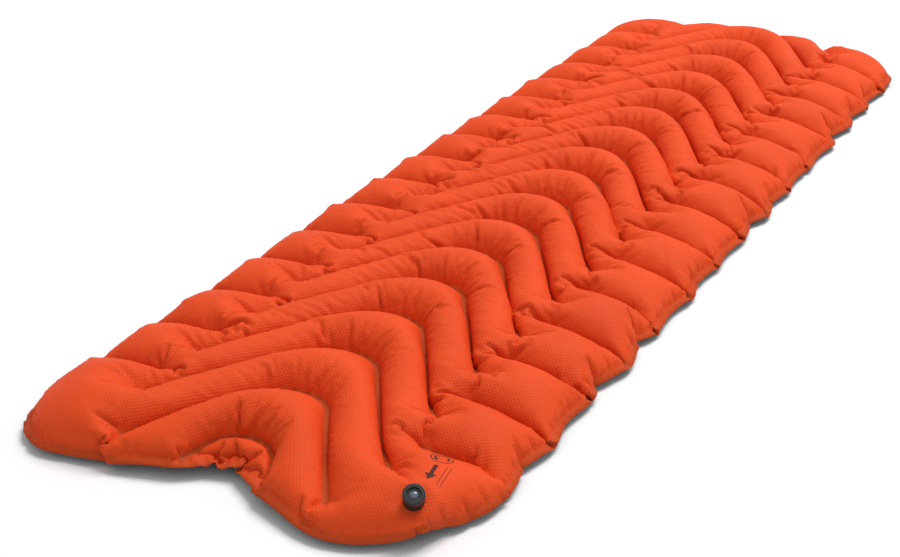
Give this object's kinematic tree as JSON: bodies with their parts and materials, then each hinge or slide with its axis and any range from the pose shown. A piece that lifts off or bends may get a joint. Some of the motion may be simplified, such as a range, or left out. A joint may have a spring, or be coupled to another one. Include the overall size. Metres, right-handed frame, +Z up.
{
  "type": "inflatable sleeping pad",
  "caption": "Inflated sleeping pad with chevron air tubes, pillowed side rails, a dark underside and a twist valve at one corner.",
  "frame": {"origin": "on the ground, under the middle of the inflated pad", "axes": "+Z up, +Y along the pad's length away from the valve end, +X across the pad towards the valve's side"},
  "size_m": [0.59, 1.83, 0.0692],
  "materials": {
    "top_fabric": "coated ripstop polyester, satin, fine embossed diamond weave",
    "bottom_fabric": "coated polyester, dark grey, satin",
    "insulation": "white loose synthetic fibre",
    "valve_plastic": "black moulded plastic, satin",
    "valve_core": "dark blue-grey moulded plastic, glossy",
    "seal": "black silicone",
    "spring_steel": "spring steel"
  },
  "bodies": {
    "pad": {"top_sheet": "top_fabric", "bottom_sheet": "bottom_fabric", "insulation_chevrons": "insulation", "insulation_left_rail": "insulation", "insulation_right_rail": "insulation", "valve_base": "valve_plastic", "valve_core": "valve_core", "valve_head_oring": "seal"},
    "mouthpiece": {"valve_mouthpiece": "valve_plastic", "valve_stem_oring": "seal"},
    "knob": {"valve_knob": "valve_plastic", "valve_retaining_ring": "spring_steel"}
  },
  "joints": [
    {"name": "valve_lift", "type": "slide", "parent": "pad", "child": "mouthpiece", "axis": [0.2808, -0.4494, 0.8481], "range_m": [0, 0.005]},
    {"name": "valve_twist", "type": "hinge", "parent": "mouthpiece", "child": "knob", "pos_m": [0.2355, -0.878, 0.047], "axis": [0.2808, -0.4494, 0.8481], "range_deg": [0, 90]}
  ],
  "couplings": [
    {"joint": "valve_lift", "follows": "valve_twist", "m_per_rad": 0.0031831}
  ]
}
